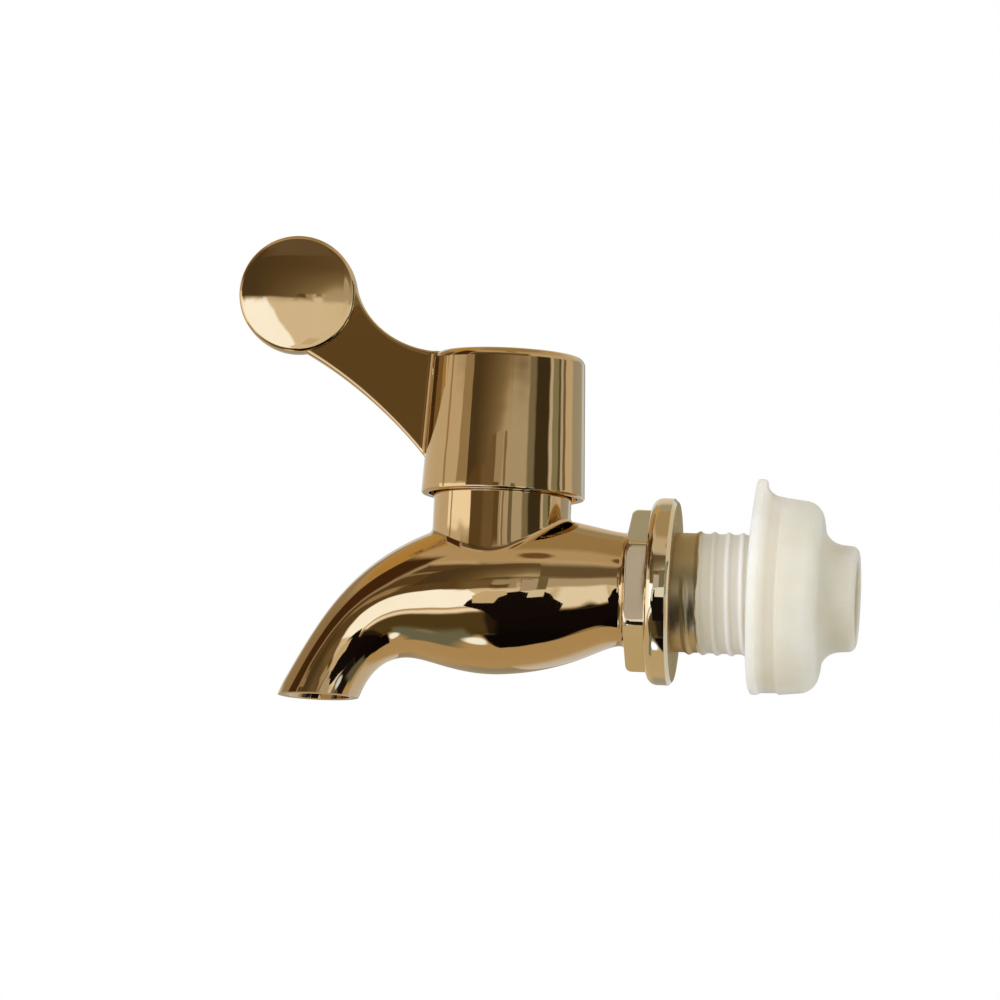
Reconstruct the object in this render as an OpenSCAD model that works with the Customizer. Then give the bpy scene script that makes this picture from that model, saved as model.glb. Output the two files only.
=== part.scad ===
// Beverage dispenser spigot with a quarter-turn lever
// Millimetres. +X runs along the shank into the vessel, the spout reaches out
// towards -X, and +Z is up along the valve stem. The origin is the centre of
// the flange's seating face, on the axis of the shank.

/* [Shank and flange] */
// Outside diameter of the threaded shank
shank_d = 16; // [14:0.5:19]
// Length of the shank, from the flange's seating face to its end
shank_len = 14.5; // [13.5:0.5:20]
// Diameter of the water way through the shank
inlet_d = 10.4; // [8:0.2:11]
// Diameter of the flange
flange_d = 24.2; // [22.5:0.2:30]
// Thickness of the flange
flange_t = 3.3; // [2.5:0.1:5]
// Radius on the flange's front edge
flange_round = 1.4; // [0.3:0.1:1.6]
// Size of the small bevel on the flange's seating edge
flange_bevel = 0.5; // [0.1:0.05:0.7]
// Size of the hexagon across its corners
hex_d = 21.3; // [19.5:0.1:22]
// Thickness of the hexagon
hex_t = 2.7; // [2:0.1:4]
// Bevel of the hexagon's corners
hex_bevel = 0.5; // [0.2:0.1:0.8]

/* [Body] */
// Distance from the flange's seating face back to the valve stem's axis
stem_back = 23; // [22:0.5:28]
// Radius of the belly under the stem
belly_r = 10.2; // [9.9:0.1:12]
// How far the belly's centre lies below the shank's axis
belly_sag = 1.35; // [0.5:0.05:2]
// Radius of the body where it meets the hexagon
root_r = 7.3; // [7:0.1:8.6]
// Radius of the small fillet between the body and the hexagon
root_fillet = 0.9; // [0.3:0.1:1.2]
// How far the spout's mouth reaches out from the stem's axis
spout_reach = 22.6; // [20:0.2:30]
// How far the spout's mouth lies below the shank's axis
spout_drop = 15.3; // [14:0.1:20]
// Outside radius of the spout at its mouth
mouth_r = 5; // [4.5:0.1:5.6]
// Wall of the spout at its mouth
spout_wall = 1.3; // [0.8:0.1:1.7]
// Radius of the neck
neck_r = 8.9; // [8.7:0.1:9.2]
// Height of the neck's top above the shank's axis
neck_top = 17.2; // [16.8:0.1:19]

/* [Valve] */
// Radius of the valve chamber bored down the neck
chamber_r = 6.85; // [6.7:0.05:7]
// Depth of the chamber's floor below the shank's axis
chamber_depth = 7; // [6:0.2:8]
// Diameter of the ports in the body, the seat and the plug
port_d = 6; // [4:0.2:6.6]
// Wall of the seat sleeve
seat_wall = 1.2; // [0.9:0.1:1.6]
// Height of the seat sleeve's top above the shank's axis
seat_top = 8.6; // [7:0.2:9]
// Running clearance of the valve's round parts, on the radius
valve_clear = 0.05; // [0.02:0.01:0.08]
// Thickness of an O-ring
o_ring_t = 1.2; // [0.8:0.1:1.4]
// Distance between the two O-rings
o_ring_pitch = 2.2; // [1.8:0.1:2.6]
// Thickness of the thrust washer
washer_t = 0.8; // [0.5:0.1:1]
// Thickness of the retaining ring
ring_t = 0.8; // [0.6:0.1:1]
// How deep the retaining ring sits in the neck's groove
ring_seat = 0.7; // [0.4:0.1:0.9]
// Radius of the plug's stem
stem_r = 3.9; // [3.6:0.1:4.4]
// Width of the square that drives the plug
square_w = 5.2; // [4.6:0.1:5.4]

/* [Lever] */
// Radius of the cap at its lower rim
cap_r_low = 10.6; // [10.4:0.1:11.5]
// Radius of the cap at its top
cap_r_top = 9.8; // [9.7:0.1:11]
// Height of the cap's lower rim above the shank's axis
cap_low = 11.5; // [11.2:0.1:12.5]
// Height of the cap's top above the shank's axis
cap_top = 30; // [28:0.1:34]
// Wall of the cap's skirt at its rim
cap_wall = 0.95; // [0.7:0.05:1.1]
// Thickness of the cap's top
cap_roof = 2; // [1.5:0.1:3]
// Radius on the cap's top edge
cap_round = 1.2; // [0.4:0.1:1.6]
// Radius of the hub that holds the plug's square
hub_r = 5.2; // [4.9:0.1:5.6]
// Thickness of the lever's blade
blade_t = 3; // [2:0.1:4]
// Distance from the stem's axis out to the centre of the thumb disc
disc_reach = 27.9; // [26:0.1:40]
// Height of the thumb disc's centre above the shank's axis
disc_up = 36.8; // [35:0.1:42]
// Radius of the thumb disc
disc_r = 7.65; // [6.5:0.05:9]
// Thickness of the thumb disc at its middle
disc_t = 5.6; // [5:0.1:7]
// Thickness of the thumb disc at its rim
disc_rim_t = 3.8; // [3.2:0.1:4.6]
// Height at which the blade's lower edge meets the cap
blade_foot = 16.6; // [14:0.2:19]
// How far the lever turns from closed to open
lever_turn = 90; // [60:5:100]
// Angle that the stop lug under the cap takes up
lug_angle = 30; // [20:5:40]

/* [Seal nut] */
// Distance from the flange to the nut's lip, the room for the vessel's wall
nut_gap = 10; // [7:0.5:11]
// Length of the nut from its lip to the end of its nose
nut_len = 13.6; // [12.5:0.1:18]
// Thickness of the nut's lip
lip_t = 1.4; // [0.8:0.1:2]
// Radius of the nut's lip
lip_r = 12.85; // [12.4:0.05:14]
// How far the lug at the top of the lip reaches above the nut's axis
lug_reach = 15.1; // [14.2:0.1:18]
// Radius of the lug's round end
lug_end_r = 6; // [4:0.5:9]
// Radius of the nut's round grip
grip_r = 12.75; // [11.8:0.05:13.5]
// Length of the nut up to the end of its grip
grip_len = 8.7; // [8.4:0.1:11]
// Rounding of the grip's inner edge
grip_round = 2.2; // [0.5:0.1:2.2]
// Radius of the nose
nose_r = 7; // [6.4:0.1:7.5]
// Radius of the hollow fillet between the grip and the nose
nose_fillet = 2.8; // [1:0.1:3.2]
// Rounding of the nose's end
nose_round = 1; // [0.4:0.1:1.4]
// Depth of the nut's threaded bore
nut_bore_len = 8; // [7:0.2:8.2]
// Running clearance between the shank and the nut's bore, on the radius
thread_clear = 0.05; // [0.02:0.01:0.09]

/* [Hidden] */
$fn = 64;

plated = "#b8935f";
milky = "#e5e1d5";
acetal = "#f1efe8";
silicone = "#d9d9d2";
black_rubber = "#2a2a2a";
spring_steel = "#9da1a5";
eps = 0.01;

// Small gaps between pieces that rest on each other
seat_gap = 0.05;
// Depth by which one solid of a piece reaches into the next
bite = 0.6;

// The valve's stack, upwards from the chamber's floor
seat_bore_r = chamber_r - valve_clear - seat_wall;
plug_r = seat_bore_r - valve_clear;
journal_r = chamber_r - 2 * valve_clear;
journal_low = seat_top + 0.3;
groove_h = o_ring_t + 0.3;
o_ring_path_r = chamber_r - valve_clear - o_ring_t / 2;
groove_r = o_ring_path_r - o_ring_t / 2 - eps;
lower_o_ring_z = journal_low + 0.7 + groove_h / 2;
upper_o_ring_z = lower_o_ring_z + o_ring_pitch;
journal_top = upper_o_ring_z + groove_h / 2 + 0.6;
washer_z = journal_top + seat_gap;
ring_z = washer_z + washer_t + seat_gap;
square_top = cap_top - cap_roof - 1.2;

// The stop: the neck's rim stands up all round but for a notch, and a lug
// under the cap runs from one end of the notch to the other
stop_play = 1.5;
stop_h = 1.6;
lug_low_r = chamber_r + 0.55;
lug_low = neck_top + 0.3;

// Points of a cubic curve from its four control points
function on_curve(p, t) =
    pow(1 - t, 3) * p[0] + 3 * pow(1 - t, 2) * t * p[1]
    + 3 * (1 - t) * t * t * p[2] + pow(t, 3) * p[3];

// Direction of the same curve
function curve_way(p, t) =
    let (d = 3 * pow(1 - t, 2) * (p[1] - p[0])
             + 6 * (1 - t) * t * (p[2] - p[1]) + 3 * t * t * (p[3] - p[2]))
    [d[0], d[1]] / norm([d[0], d[1]]);

// Arc points round a centre
function arc_points(centre, r, from, to, n) =
    [for (i = [0 : n])
        let (a = from + (to - from) * i / n)
        centre + r * [cos(a), sin(a)]];

// Rings of a pipe: each holds its centre x and z, its radius and its way
function pipe_rings(p, from, to, n) =
    [for (i = [0 : n])
        let (t = from + (to - from) * i / n, c = on_curve(p, t), w = curve_way(p, t))
        [c[0], c[1], c[2], w[0], w[1]]];

// A solid pipe of round sections through the rings, each square to its way
module pipe(rings, sides) {
    last = len(rings) - 1;
    hub = len(rings) * sides;
    points = [
        for (q = rings, k = [0 : sides - 1])
            let (a = 360 * k / sides)
            [q[0] - q[4] * q[2] * cos(a), q[2] * sin(a), q[1] + q[3] * q[2] * cos(a)]
    ];
    middles = [for (q = [rings[0], rings[last]]) [q[0], 0, q[1]]];
    walls = [
        for (i = [0 : last - 1], k = [0 : sides - 1], half = [0, 1])
            let (a = i * sides + k, b = i * sides + (k + 1) % sides)
            half == 0 ? [a, b, b + sides] : [a, b + sides, a + sides]
    ];
    start = [for (k = [0 : sides - 1]) [(k + 1) % sides, k, hub]];
    end = [for (k = [0 : sides - 1])
        [last * sides + k, last * sides + (k + 1) % sides, hub + 1]];
    polyhedron(points = concat(points, middles), faces = concat(walls, start, end), convexity = 6);
}

// A round piece whose outline is given as points of radius and height
module turned(points) {
    rotate_extrude($fn = 96) polygon(points);
}

// Turns a piece made along +Z so that it lies along +X
module along_x() {
    rotate([0, 90, 0]) children();
}

// Part of a ring between two radii, from one angle round to another
module ring_sector(r_in, r_out, h, from, turn) {
    rotate([0, 0, from])
        rotate_extrude(angle = turn, $fn = 96)
            translate([r_in, 0]) square([r_out - r_in, h]);
}

// Centre line and radius of the spout and of the body's tail, from the stem's
// axis: each control point holds x, z and the radius
belly = [0, -belly_sag, belly_r];
// The step from the belly's point to the next one. Spout and tail share it, so
// that no crease shows where they meet
belly_step = [9.5, 0.96, 0.23];
shoulder_x = 4.85 - spout_reach;
shoulder_z = -2;
tail_x = stem_back - flange_t - hex_t;
spout_curve = [
    belly,
    belly - belly_step,
    [shoulder_x, shoulder_z, mouth_r - 1.9],
    [-spout_reach, -spout_drop, mouth_r]
];
tail_curve = [
    belly,
    belly + belly_step,
    [tail_x - 3.7, 0.25, root_r - 0.15],
    [tail_x, 0, root_r]
];
// The water way down the spout starts inside the valve chamber
way_curve = [
    [-chamber_r + 2, 0, port_d / 2],
    [-chamber_r - 4, -0.5, port_d / 2],
    [shoulder_x, shoulder_z, port_d / 2],
    [-spout_reach, -spout_drop, mouth_r - spout_wall]
];

// Rings past a curve's end, straight on along its last way
function straight_on(p, step) =
    let (c = on_curve(p, 1), w = curve_way(p, 1))
    [[c[0] + w[0] * step, c[1] + w[1] * step, c[2], w[0], w[1]]];

module spout_and_belly() {
    spout = concat(pipe_rings(spout_curve, 0, 1, 22), straight_on(spout_curve, 4));
    tail = pipe_rings(tail_curve, 0, 1, 9);
    back = [for (i = [len(spout) - 1 : -1 : 1])
        let (q = spout[i]) [q[0], q[1], q[2], -q[3], -q[4]]];
    pipe(concat(back, tail, straight_on(tail_curve, bite)), 48);
}

module spout_way() {
    way = concat(pipe_rings(way_curve, 0, 1, 16), straight_on(way_curve, 5));
    pipe(way, 28);
}

module hexagon() {
    intersection() {
        cylinder(h = hex_t + bite, d = hex_d, $fn = 6);
        turned([
            [0, 0], [hex_d / 2 - hex_bevel, 0], [hex_d / 2, hex_bevel],
            [hex_d / 2, hex_t + bite], [0, hex_t + bite]
        ]);
    }
}

module flange() {
    r = flange_d / 2;
    turned(concat(
        [[0, 0]],
        arc_points([r - flange_round, flange_round], flange_round, -90, 0, 5),
        [[r, flange_t - flange_bevel], [r - flange_bevel, flange_t], [0, flange_t]]
    ));
}

// Hollow fillet round the body where it meets the hexagon
module root_ring() {
    turned(concat(
        [[root_r - bite, -root_fillet]],
        arc_points([root_r + root_fillet, -root_fillet], root_fillet, 180, 90, 5),
        [[root_r + root_fillet, bite], [root_r - bite, bite]]
    ));
}

module spigot_body() {
    color(plated)
    difference() {
        union() {
            difference() {
                translate([-stem_back, 0, 0]) spout_and_belly();
                translate([-stem_back - spout_reach - 15, -15, -spout_drop - 15])
                    cube([30, 30, 15]);
            }
            translate([-stem_back, 0, 0]) cylinder(h = neck_top + stop_h, r = neck_r, $fn = 96);
            translate([-flange_t - hex_t, 0, 0]) along_x() root_ring();
            translate([-flange_t - hex_t, 0, 0]) along_x() hexagon();
            translate([-flange_t, 0, 0]) along_x() flange();
            along_x() translate([0, 0, -bite]) cylinder(h = shank_len + bite, d = shank_d, $fn = 96);
        }
        translate([-stem_back, 0, -chamber_depth])
            cylinder(h = chamber_depth + neck_top + stop_h + 1, r = chamber_r, $fn = 96);
        translate([-stem_back, 0, neck_top])
            ring_sector(chamber_r - bite, neck_r + 1, stop_h + 1, 180 - lug_angle / 2 - stop_play,
                        lever_turn + lug_angle + 2 * stop_play);
        translate([-stem_back, 0, ring_z])
            cylinder(h = ring_t + 2 * seat_gap, r = chamber_r + ring_seat, $fn = 96);
        translate([-stem_back, 0, 0]) spout_way();
        translate([-stem_back, 0, 0]) along_x() cylinder(h = stem_back, d = port_d);
        translate([-stem_back + chamber_r + 2.5, 0, 0])
            along_x() cylinder(h = stem_back + shank_len, d = inlet_d, $fn = 96);
    }
}

module seat_sleeve() {
    color(silicone)
    translate([-stem_back, 0, 0])
    difference() {
        translate([0, 0, -chamber_depth + seat_gap])
            cylinder(h = chamber_depth - seat_gap + seat_top, r = chamber_r - valve_clear, $fn = 96);
        translate([0, 0, -chamber_depth - 1])
            cylinder(h = chamber_depth + seat_top + 2, r = seat_bore_r, $fn = 96);
        translate([-chamber_r - 1, 0, 0])
            along_x() cylinder(h = 2 * chamber_r + 2, d = port_d);
    }
}

module thrust_washer() {
    color(acetal)
    translate([-stem_back, 0, washer_z])
    difference() {
        cylinder(h = washer_t, r = chamber_r - valve_clear, $fn = 96);
        translate([0, 0, -1]) cylinder(h = washer_t + 2, r = stem_r + 0.2, $fn = 96);
    }
}

module retaining_ring() {
    color(spring_steel)
    translate([-stem_back, 0, ring_z + seat_gap])
        ring_sector(chamber_r - 1.4, chamber_r + ring_seat - valve_clear, ring_t, 25, 310);
}

module valve_plug() {
    color(acetal)
    translate([-stem_back, 0, 0])
    difference() {
        union() {
            translate([0, 0, -chamber_depth + seat_gap])
                cylinder(h = chamber_depth + journal_low, r = plug_r, $fn = 96);
            translate([0, 0, journal_low])
                cylinder(h = journal_top - journal_low, r = journal_r, $fn = 96);
            translate([0, 0, journal_low]) cylinder(h = neck_top - journal_low, r = stem_r, $fn = 96);
            translate([-square_w / 2, -square_w / 2, journal_low])
                cube([square_w, square_w, square_top - journal_low]);
        }
        for (z = [lower_o_ring_z, upper_o_ring_z])
            translate([0, 0, z - groove_h / 2])
                difference() {
                    cylinder(h = groove_h, r = chamber_r + 1, $fn = 96);
                    translate([0, 0, -1]) cylinder(h = groove_h + 2, r = groove_r, $fn = 96);
                }
        rotate([90, 0, 0]) translate([0, 0, -chamber_r - 1])
            cylinder(h = 2 * chamber_r + 2, d = port_d);
    }
}

module o_ring(z) {
    color(black_rubber)
    translate([-stem_back, 0, z])
        rotate_extrude($fn = 96) translate([o_ring_path_r, 0]) circle(d = o_ring_t, $fn = 24);
}

module lower_o_ring() {
    o_ring(lower_o_ring_z);
}

module upper_o_ring() {
    o_ring(upper_o_ring_z);
}

// The lever's blade, drawn in the XZ plane: its upper edge leaves the disc and
// runs out level on the cap's top, its lower edge bends down on to the skirt
module blade_outline() {
    disc = [-disc_reach, disc_up];
    top_way = 12;
    low_way = -80;
    top_from = disc + disc_r * [cos(top_way), sin(top_way)];
    low_from = disc + disc_r * [cos(low_way), sin(low_way)];
    top_edge = [
        top_from,
        top_from + 4.1 * [sin(top_way), -cos(top_way)],
        [-cap_r_top - 5.6, cap_top],
        [-cap_r_top + cap_round, cap_top]
    ];
    low_edge = [
        [-cap_r_low + 0.9, blade_foot - 1.2],
        [-cap_r_low - 3.4, blade_foot + 4.2],
        low_from + [6.1, -3.2],
        low_from
    ];
    polygon(concat(
        [disc],
        [for (i = [0 : 14]) on_curve(top_edge, i / 14)],
        [[-cap_r_top / 2, cap_top - cap_round], [-cap_r_top / 2, blade_foot]],
        [for (i = [0 : 14]) on_curve(low_edge, i / 14)]
    ));
}

module thumb_disc() {
    dome_h = (disc_t - disc_rim_t) / 2;
    edge = (disc_rim_t - blade_t) / 2;
    // Radius of the sphere whose cap is the domed face
    dome_r = (pow(disc_r - edge, 2) + dome_h * dome_h) / (2 * dome_h);
    span = asin((disc_r - edge) / dome_r);
    turned(concat(
        [[0, -disc_t / 2]],
        [for (i = [1 : 6])
            let (a = span * i / 6) [dome_r * sin(a), -disc_t / 2 + dome_r * (1 - cos(a))]],
        [[disc_r, -blade_t / 2], [disc_r, blade_t / 2]],
        [for (i = [6 : -1 : 0])
            let (a = span * i / 6) [dome_r * sin(a), disc_t / 2 - dome_r * (1 - cos(a))]]
    ));
}

// Radius of the middle of the skirt's wall at a height, and a cone of it
function skirt_mid(z) =
    cap_r_low + (cap_r_top - cap_r_low) * (z - cap_low) / (cap_top - cap_low) - cap_wall / 2;

module skirt_cone(from, to, grown) {
    translate([0, 0, from])
        cylinder(h = to - from, r1 = skirt_mid(from) + grown, r2 = skirt_mid(to) + grown, $fn = 96);
}

module cap_shell() {
    difference() {
        turned(concat(
            [[0, cap_low], [cap_r_low, cap_low]],
            arc_points([cap_r_top - cap_round, cap_top - cap_round], cap_round, 0, 90, 6),
            [[0, cap_top]]
        ));
        turned([
            [0, cap_low - 1], [cap_r_low - cap_wall, cap_low - 1],
            [cap_r_top - cap_wall - 0.1, cap_top - cap_roof], [0, cap_top - cap_roof]
        ]);
    }
}

module lever_handle() {
    color(plated)
    translate([-stem_back, 0, 0])
    difference() {
        union() {
            cap_shell();
            difference() {
                rotate([90, 0, 0]) translate([0, 0, -blade_t / 2])
                    linear_extrude(blade_t) blade_outline();
                skirt_cone(cap_low, cap_top - cap_roof + eps, 0);
            }
            translate([-disc_reach, 0, disc_up]) rotate([90, 0, 0]) thumb_disc();
            translate([0, 0, neck_top + stop_h + 0.3])
                cylinder(h = cap_top - neck_top - stop_h - 1, r = hub_r, $fn = 96);
            intersection() {
                skirt_cone(lug_low, cap_top - cap_roof / 2, cap_wall / 6);
                translate([0, 0, lug_low])
                    ring_sector(lug_low_r, cap_r_low, cap_top - lug_low,
                                180 - lug_angle / 2, lug_angle);
            }
        }
        translate([-square_w / 2 - seat_gap, -square_w / 2 - seat_gap, neck_top])
            cube([square_w + 2 * seat_gap, square_w + 2 * seat_gap, square_top + seat_gap - neck_top]);
    }
}

// Outline of the nut as radius and height above its lip's face
module nut_solid() {
    taper = 0.3;
    turned(concat(
        [[0, 0], [lip_r - lip_t / 3, 0], [lip_r, lip_t / 3], [lip_r, lip_t * 2 / 3],
         [grip_r - 0.1, lip_t + 0.5]],
        arc_points([grip_r - taper - grip_round, grip_len - grip_round], grip_round, 5, 80, 5),
        arc_points([nose_r + nose_fillet, grip_len + nose_fillet], nose_fillet, 262, 184, 6),
        arc_points([nose_r - nose_round, nut_len - nose_round], nose_round, 5, 90, 5),
        [[0, nut_len]]
    ));
}

// The lug on the lip: its sides run straight from the lip's rim to a round end
module lip_lug() {
    far = lug_reach - lug_end_r;
    lean = acos((lip_r - lug_end_r) / far);
    linear_extrude(lip_t)
        polygon(concat(
            [[0, 0]],
            [lip_r * [cos(lean), -sin(lean)]],
            arc_points([far, 0], lug_end_r, -lean, lean, 16),
            [lip_r * [cos(lean), sin(lean)]]
        ));
}

module seal_nut() {
    color(milky)
    translate([nut_gap, 0, 0]) along_x()
    difference() {
        union() {
            nut_solid();
            rotate([0, 0, 180]) lip_lug();
        }
        translate([0, 0, -1])
            cylinder(h = nut_bore_len + 1, r = shank_d / 2 + thread_clear, $fn = 96);
        cylinder(h = nut_len + 1, d = inlet_d, $fn = 96);
    }
}

spigot_body();
seat_sleeve();
thrust_washer();
retaining_ring();
valve_plug();
lower_o_ring();
upper_o_ring();
lever_handle();
seal_nut();
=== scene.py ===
# %% [markdown]
# # A quarter-turn spigot for a drink dispenser
# The real object is a small moulded plastic tap with a bright champagne gold
# plating, and a milky plastic nut on its threaded shank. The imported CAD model
# gives every size, and this file dresses it: each outer moulding is made again
# as a smooth surface with small roundings, because a plated surface is a mirror
# and shows every flat facet. The parts inside keep their CAD shape.

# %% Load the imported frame
import math

import bpy
import numpy as np
from mathutils import Matrix


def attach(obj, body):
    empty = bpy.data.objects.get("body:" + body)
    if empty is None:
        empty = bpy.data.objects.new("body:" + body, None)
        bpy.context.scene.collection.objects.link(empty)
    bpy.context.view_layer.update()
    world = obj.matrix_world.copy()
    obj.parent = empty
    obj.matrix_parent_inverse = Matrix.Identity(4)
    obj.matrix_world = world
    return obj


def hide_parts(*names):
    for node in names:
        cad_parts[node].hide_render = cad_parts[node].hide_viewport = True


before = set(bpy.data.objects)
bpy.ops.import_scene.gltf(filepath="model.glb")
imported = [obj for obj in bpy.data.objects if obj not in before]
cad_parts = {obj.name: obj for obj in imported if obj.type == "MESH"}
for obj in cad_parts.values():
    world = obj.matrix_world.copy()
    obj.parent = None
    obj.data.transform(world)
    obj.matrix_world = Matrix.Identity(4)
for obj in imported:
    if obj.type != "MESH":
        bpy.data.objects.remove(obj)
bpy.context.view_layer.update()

# %% [markdown]
# ## The photographer's view
# The camera stands a little below the tap and a little towards its shank, far
# away behind a long lens, so that the picture is almost without perspective.
# The picture itself is turned a few degrees clockwise.

# %% Camera
MM = 0.001
VIEW_AZIMUTH = 5.547
VIEW_ELEVATION = -6.257
VIEW_ROLL = 2.824
VIEW_DISTANCE = 1632.0
PIXELS_PER_MM = 7.73
SIGHT_POINT = np.array([-10.0, 0.0, 8.0])
SIGHT_PIXEL = np.array([601.56, 527.76])
PICTURE = 1000
SENSOR = 36.0


def unit(vector):
    """The vector divided by its own length."""
    return vector / np.linalg.norm(vector)


def camera_axes(forward, roll):
    """Right and up of a camera that looks along forward: the level pair, turned by the roll."""
    right = unit(np.cross(forward, [0.0, 0.0, 1.0]))
    up = np.cross(right, forward)
    c, s = math.cos(roll), math.sin(roll)
    return c * right + s * up, c * up - s * right


azimuth, elevation = math.radians(VIEW_AZIMUTH), math.radians(VIEW_ELEVATION)
back = np.array([math.sin(azimuth) * math.cos(elevation),
                 -math.cos(azimuth) * math.cos(elevation), math.sin(elevation)])
right, up = camera_axes(-back, math.radians(VIEW_ROLL))
off_centre = (PICTURE / 2 - SIGHT_PIXEL) / PIXELS_PER_MM
eye = SIGHT_POINT + off_centre[0] * right - off_centre[1] * up + VIEW_DISTANCE * back

camera_data = bpy.data.cameras.new("camera")
camera_data.sensor_width = SENSOR
camera_data.lens = SENSOR * PIXELS_PER_MM * VIEW_DISTANCE / PICTURE
camera_data.clip_start = 0.05
camera_data.clip_end = 20.0
camera = bpy.data.objects.new("camera", camera_data)
bpy.context.scene.collection.objects.link(camera)
turn = Matrix(np.column_stack([right, up, back]).tolist()).to_4x4()
camera.matrix_world = Matrix.Translation((eye * MM).tolist()) @ turn
bpy.context.scene.camera = camera
bpy.context.scene.view_settings.view_transform = "Standard"
print("lens", round(camera_data.lens, 1), "mm, eye at", np.round(eye, 1), "mm")

# %% [markdown]
# ## Sizes
# The same numbers as in the CAD source, in millimetres. +X runs along the shank
# into the vessel and +Z up along the valve stem.

# %% Sizes of the tap
STEM = np.array([-23.0, 0.0, 0.0])
SHANK_R, SHANK_LEN, INLET_R = 8.0, 14.5, 5.2
FLANGE_R, FLANGE_T, FLANGE_ROUND, FLANGE_BEVEL = 12.1, 3.3, 1.4, 0.5
HEX_R, HEX_T, HEX_BEVEL = 10.65, 2.7, 0.5
ROOT_R, ROOT_FILLET = 7.3, 0.9
SPOUT_REACH, SPOUT_DROP, MOUTH_R, SPOUT_WALL = 22.6, 15.3, 5.0, 1.3
NECK_R, NECK_TOP, STOP_H = 8.9, 17.2, 1.6
CHAMBER_R, CHAMBER_DEPTH, PORT_R = 6.85, 7.0, 3.0
CAP_R_LOW, CAP_R_TOP, CAP_LOW, CAP_TOP = 10.6, 9.8, 11.5, 30.0
CAP_WALL, CAP_ROOF, CAP_ROUND, HUB_R = 0.95, 2.0, 1.2, 5.2
BLADE_T, DISC_R, DISC_T, DISC_RIM_T, BLADE_FOOT = 3.0, 7.65, 5.6, 3.8, 16.6
DISC = np.array([-27.9, 36.8])
NUT_GAP, NUT_LEN, LIP_T, LIP_R = 10.0, 13.6, 1.4, 12.85
LUG_REACH, LUG_END_R = 15.1, 6.0
GRIP_R, GRIP_LEN, GRIP_ROUND = 12.75, 8.7, 2.2
NOSE_R, NOSE_FILLET, NOSE_ROUND, NUT_BORE_LEN = 7.0, 2.8, 1.0, 8.0

# %% [markdown]
# ## Curves, grids and meshes
# Every new surface is a grid of points: rows along a profile or a path, and
# columns round it. Worked out with numpy as whole arrays, it goes into the mesh
# in one step. A row of a single point closes an end.


# %% Helpers for curves and grids
def on_curve(points, t):
    """Points of a cubic curve: its four control points weighted by the powers of t and 1 - t."""
    p = np.asarray(points, float)
    t = np.asarray(t, float)[..., None]
    return ((1 - t) ** 3 * p[0] + 3 * (1 - t) ** 2 * t * p[1]
            + 3 * (1 - t) * t * t * p[2] + t ** 3 * p[3])


def along_curve(points, t):
    """How fast the cubic curve moves on at t: the differences of its control points, weighted."""
    p = np.asarray(points, float)
    t = np.asarray(t, float)[..., None]
    return (3 * (1 - t) ** 2 * (p[1] - p[0]) + 6 * (1 - t) * t * (p[2] - p[1])
            + 3 * t * t * (p[3] - p[2]))


def rounded(corners, steps=5):
    """A profile from corners of (radius, height, rounding): each corner becomes an arc that
    is tangent to both its sides. A rounding of 0 keeps the corner."""
    corners = np.asarray(corners, float)
    made = [corners[0, :2]]
    for before, here, after in zip(corners[:-2], corners[1:-1], corners[2:]):
        if here[2] <= 0:
            made.append(here[:2])
            continue
        to_before, to_after = unit(before[:2] - here[:2]), unit(after[:2] - here[:2])
        half = math.acos(np.clip(to_before @ to_after, -1, 1)) / 2
        reach = here[2] / math.tan(half)
        centre = here[:2] + unit(to_before + to_after) * here[2] / math.sin(half)
        start = here[:2] + to_before * reach - centre
        end = here[:2] + to_after * reach - centre
        sweep = math.pi - 2 * half
        for k in range(steps + 1):
            share = k / steps
            arm = (math.sin((1 - share) * sweep) * start + math.sin(share * sweep) * end)
            made.append(centre + arm / math.sin(sweep))
    made.append(corners[-1, :2])
    return np.array(made)


def round_grid(profile, columns, axis="z"):
    """A profile of (radius, height) carried round an axis: rows are its points, columns angles."""
    angle = np.linspace(0, 2 * math.pi, columns, endpoint=False)
    r, h = profile[:, :1], np.repeat(profile[:, 1:2], columns, 1)
    first, second = r * np.cos(angle), r * np.sin(angle)
    if axis == "x":
        return np.stack([h, first, second], -1)
    if axis == "y":
        return np.stack([first, h, second], -1)
    return np.stack([first, second, h], -1)


def shell(grid, paint=0):
    """Points and faces of a grid whose columns join up. Where a first or last row has shrunk
    to one point it becomes a pole with a fan, and the faces are turned to point outwards."""
    rows, columns = grid.shape[:2]
    start_pole = np.ptp(grid[0], axis=0).max() < 1e-9
    end_pole = np.ptp(grid[-1], axis=0).max() < 1e-9
    body = grid[int(start_pole):rows - int(end_pole)]
    n = len(body)
    points = body.reshape(-1, 3)
    i, k = np.meshgrid(np.arange(n - 1), np.arange(columns), indexing="ij")
    k2 = (k + 1) % columns
    quads = np.stack([i * columns + k, i * columns + k2,
                      (i + 1) * columns + k2, (i + 1) * columns + k], -1).reshape(-1, 4)
    k = np.arange(columns)
    k2 = (k + 1) % columns
    fans = []
    if start_pole:
        fans.append(np.stack([k2, k, np.full(columns, len(points))], -1))
        points = np.vstack([points, grid[0, :1]])
    if end_pole:
        last = (n - 1) * columns
        fans.append(np.stack([last + k, last + k2, np.full(columns, len(points))], -1))
        points = np.vstack([points, grid[-1, :1]])
    tris = np.vstack(fans) if fans else np.zeros((0, 3), int)
    halves = np.vstack([quads[:, :3], quads[:, [0, 2, 3]], tris])
    a, b, c = (points[halves[:, m]] for m in range(3))
    if np.einsum("ij,ij->i", a, np.cross(b, c)).sum() < 0:
        quads, tris = quads[:, ::-1], tris[:, ::-1]
    return points, quads, tris, paint


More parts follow.
